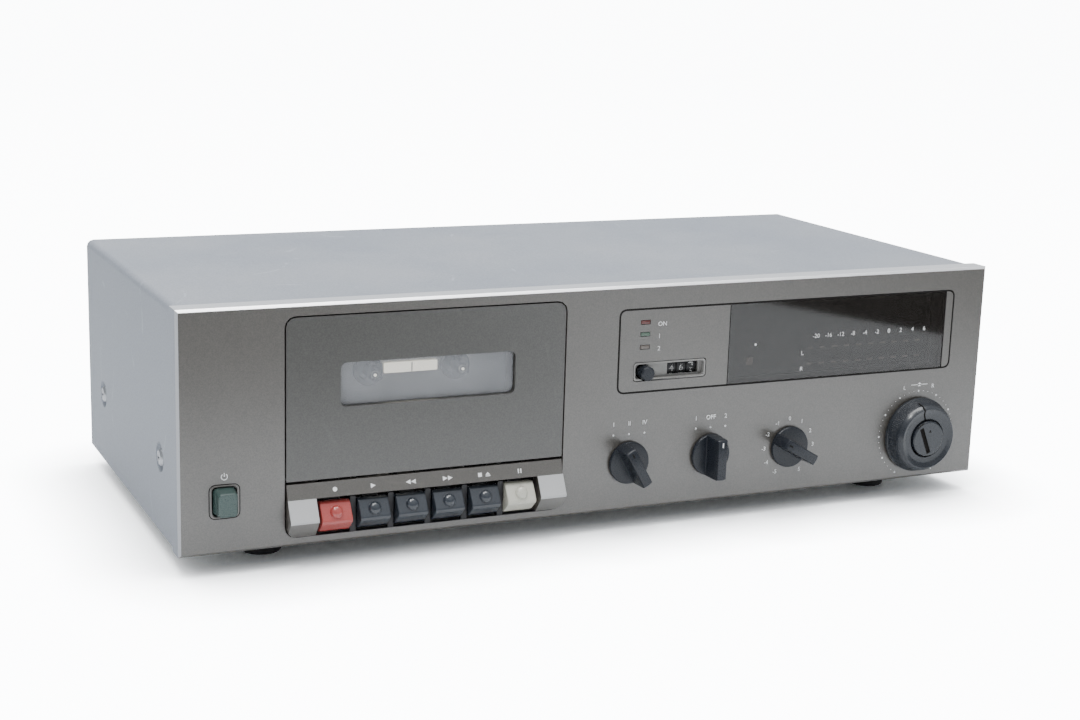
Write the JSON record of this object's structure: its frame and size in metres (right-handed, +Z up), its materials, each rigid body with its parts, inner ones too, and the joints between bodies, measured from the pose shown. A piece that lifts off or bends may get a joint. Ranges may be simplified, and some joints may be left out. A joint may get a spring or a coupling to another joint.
{
  "type": "cassette deck",
  "caption": "Full-width front-loading stereo cassette deck with a hinged cassette door, piano keys, selector and level knobs, tape counter and smoked meter window.",
  "frame": {"origin": "bottom centre of the whole deck's bounding box, on the surface it stands on", "axes": "+X to the deck's right seen from the front, +Y to its back, +Z up"},
  "size_m": [0.42, 0.216, 0.119],
  "materials": {
    "fascia_paint": "fine satin metallic grey paint",
    "cover_paint": "fine textured grey paint",
    "black_key": "glossy blue-black moulding",
    "red_key": "glossy red moulding",
    "beige_key": "glossy beige moulding",
    "green_button": "satin green moulding",
    "knob_plastic": "satin blue-black moulding",
    "dark_plastic": "black moulding",
    "pale_plastic": "cream moulding",
    "smoked_window": "smoked clear sheet",
    "plated_steel": "zinc-plated sheet steel",
    "bright_steel": "ground bright steel",
    "brass": "turned brass",
    "rubber": "black rubber",
    "circuit_board": "brown laminate with parts on it"
  },
  "bodies": {
    "root": {"bottom_pan": "plated_steel", "control_board": "circuit_board", "counter_belt": "rubber", "counter_frame": "fascia_paint", "cover_screw_left_front": "plated_steel", "cover_screw_left_rear": "plated_steel", "cover_screw_right_front": "plated_steel", "cover_screw_right_rear": "plated_steel", "display_panel": "fascia_paint", "drive_belt": "rubber", "drive_motor": "plated_steel", "flywheel_bracket": "plated_steel", "foot_front_left": "rubber", "foot_front_right": "rubber", "foot_rear_left": "rubber", "foot_rear_right": "rubber", "front_panel": "fascia_paint", "front_subchassis": "plated_steel", "jack_block": "dark_plastic", "key_bezel": "fascia_paint", "key_shaft": "bright_steel", "main_board": "circuit_board", "mains_gland": "dark_plastic", "mechanism_plate": "plated_steel", "meter_board": "circuit_board", "meter_window": "smoked_window", "power_switch": "dark_plastic", "rear_panel": "cover_paint", "reel_reflector": "pale_plastic", "top_cover": "cover_paint", "transformer": "plated_steel"},
    "door": {"cassette_door": "fascia_paint", "door_window": "smoked_window", "cassette_holder": "plated_steel"},
    "record_key": {"record_key": "red_key"},
    "play_key": {"play_key": "black_key"},
    "rewind_key": {"rewind_key": "black_key"},
    "forward_key": {"forward_key": "black_key"},
    "stop_open_key": {"stop_open_key": "black_key"},
    "pause_key": {"pause_key": "beige_key"},
    "power_button": {"power_button": "green_button"},
    "tape_selector": {"tape_selector_knob": "knob_plastic"},
    "noise_filter": {"noise_filter_knob": "knob_plastic"},
    "play_trim": {"play_trim_knob": "knob_plastic"},
    "record_level": {"record_level_knob": "knob_plastic"},
    "balance": {"balance_knob": "knob_plastic"},
    "counter_reset": {"counter_reset_button": "knob_plastic"},
    "counter_drive": {"counter_pulley": "brass"},
    "counter_hundreds": {"counter_wheel_hundreds": "dark_plastic"},
    "counter_tens": {"counter_wheel_tens": "dark_plastic"},
    "counter_units": {"counter_wheel_units": "dark_plastic"},
    "takeup_reel": {"takeup_spindle": "dark_plastic"},
    "supply_reel": {"supply_spindle": "dark_plastic"},
    "capstan": {"capstan_flywheel": "bright_steel"},
    "motor_rotor": {"motor_pulley": "brass"},
    "pinch_lever": {"pinch_arm": "plated_steel"},
    "pinch_wheel": {"pinch_roller": "rubber"},
    "heads": {"head_bridge": "plated_steel", "record_play_head": "bright_steel", "erase_head": "bright_steel"}
  },
  "joints": [
    {"name": "door_hinge", "type": "hinge", "parent": "root", "child": "door", "pos_m": [-0.0953, -0.093, 0.041], "axis": [1, 0, 0], "range_deg": [0, 25]},
    {"name": "record_press", "type": "hinge", "parent": "root", "child": "record_key", "pos_m": [-0.14005, -0.087, 0.0335], "axis": [1, 0, 0], "range_deg": [0, 8], "stiffness_Nm_per_rad": 0.4},
    {"name": "play_press", "type": "hinge", "parent": "root", "child": "play_key", "pos_m": [-0.12215, -0.087, 0.0335], "axis": [1, 0, 0], "range_deg": [0, 8], "stiffness_Nm_per_rad": 0.4},
    {"name": "rewind_press", "type": "hinge", "parent": "root", "child": "rewind_key", "pos_m": [-0.10425, -0.087, 0.0335], "axis": [1, 0, 0], "range_deg": [0, 8], "stiffness_Nm_per_rad": 0.4},
    {"name": "forward_press", "type": "hinge", "parent": "root", "child": "forward_key", "pos_m": [-0.08635, -0.087, 0.0335], "axis": [1, 0, 0], "range_deg": [0, 8], "stiffness_Nm_per_rad": 0.4},
    {"name": "stop_open_press", "type": "hinge", "parent": "root", "child": "stop_open_key", "pos_m": [-0.06845, -0.087, 0.0335], "axis": [1, 0, 0], "range_deg": [0, 8], "stiffness_Nm_per_rad": 0.4},
    {"name": "pause_press", "type": "hinge", "parent": "root", "child": "pause_key", "pos_m": [-0.05055, -0.087, 0.0335], "axis": [1, 0, 0], "range_deg": [0, 8], "stiffness_Nm_per_rad": 0.4},
    {"name": "power_push", "type": "slide", "parent": "root", "child": "power_button", "axis": [0, 1, 0], "range_m": [0, 0.0035], "stiffness_N_per_m": 250},
    {"name": "tape_select", "type": "hinge", "parent": "root", "child": "tape_selector", "pos_m": [0.0065, -0.095, 0.0335], "axis": [0, 1, 0], "range_deg": [0, 60]},
    {"name": "noise_filter_select", "type": "hinge", "parent": "root", "child": "noise_filter", "pos_m": [0.0511, -0.095, 0.0335], "axis": [0, 1, 0], "range_deg": [-30, 30]},
    {"name": "play_trim_turn", "type": "hinge", "parent": "root", "child": "play_trim", "pos_m": [0.0963, -0.095, 0.0335], "axis": [0, 1, 0], "range_deg": [-90, 210]},
    {"name": "record_level_turn", "type": "hinge", "parent": "root", "child": "record_level", "pos_m": [0.1731, -0.095, 0.0335], "axis": [0, 1, 0], "range_deg": [-130, 170]},
    {"name": "balance_turn", "type": "hinge", "parent": "root", "child": "balance", "pos_m": [0.1731, -0.095, 0.0335], "axis": [0, 1, 0], "range_deg": [-150, 150]},
    {"name": "counter_reset_push", "type": "slide", "parent": "root", "child": "counter_reset", "axis": [0, 1, 0], "range_m": [0, 0.003], "stiffness_N_per_m": 300},
    {"name": "takeup_spin", "type": "hinge", "parent": "root", "child": "takeup_reel", "pos_m": [-0.07405, -0.0705, 0.0818], "axis": [0, 1, 0], "continuous": true},
    {"name": "supply_spin", "type": "hinge", "parent": "root", "child": "supply_reel", "pos_m": [-0.11655, -0.0705, 0.0818], "axis": [0, 1, 0], "continuous": true},
    {"name": "counter_drive_spin", "type": "hinge", "parent": "root", "child": "counter_drive", "pos_m": [0.0035, -0.064, 0.0773], "axis": [0, 1, 0], "continuous": true},
    {"name": "counter_units_spin", "type": "hinge", "parent": "root", "child": "counter_units", "pos_m": [0.0408, -0.0835, 0.0773], "axis": [1, 0, 0], "continuous": true},
    {"name": "counter_tens_spin", "type": "hinge", "parent": "root", "child": "counter_tens", "pos_m": [0.0354, -0.0835, 0.0773], "axis": [1, 0, 0], "continuous": true},
    {"name": "counter_hundreds_spin", "type": "hinge", "parent": "root", "child": "counter_hundreds", "pos_m": [0.03, -0.0835, 0.0773], "axis": [1, 0, 0], "continuous": true},
    {"name": "capstan_spin", "type": "hinge", "parent": "root", "child": "capstan", "pos_m": [-0.0668, -0.06, 0.0562], "axis": [0, 1, 0], "continuous": true},
    {"name": "motor_spin", "type": "hinge", "parent": "root", "child": "motor_rotor", "pos_m": [-0.13, -0.057, 0.05], "axis": [0, 1, 0], "continuous": true},
    {"name": "pinch_swing", "type": "hinge", "parent": "root", "child": "pinch_lever", "pos_m": [-0.046, -0.0758, 0.037], "axis": [0, 1, 0], "range_deg": [0, 24.5]},
    {"name": "pinch_roller_spin", "type": "hinge", "parent": "pinch_lever", "child": "pinch_wheel", "pos_m": [-0.0668, -0.0795, 0.039], "axis": [0, 1, 0], "continuous": true},
    {"name": "bridge_slide", "type": "slide", "parent": "root", "child": "heads", "axis": [0, 0, 1], "range_m": [0, 0.0082]}
  ],
  "couplings": [
    {"joint": "pinch_swing", "follows": "play_press", "ratio": 3},
    {"joint": "bridge_slide", "follows": "play_press", "m_per_rad": 0.0573},
    {"joint": "counter_drive_spin", "follows": "takeup_spin", "ratio": 1.5},
    {"joint": "counter_units_spin", "follows": "takeup_spin", "ratio": 0.05},
    {"joint": "counter_tens_spin", "follows": "takeup_spin", "ratio": 0.005},
    {"joint": "counter_hundreds_spin", "follows": "takeup_spin", "ratio": 0.0005},
    {"joint": "motor_spin", "follows": "capstan_spin", "ratio": 6}
  ]
}
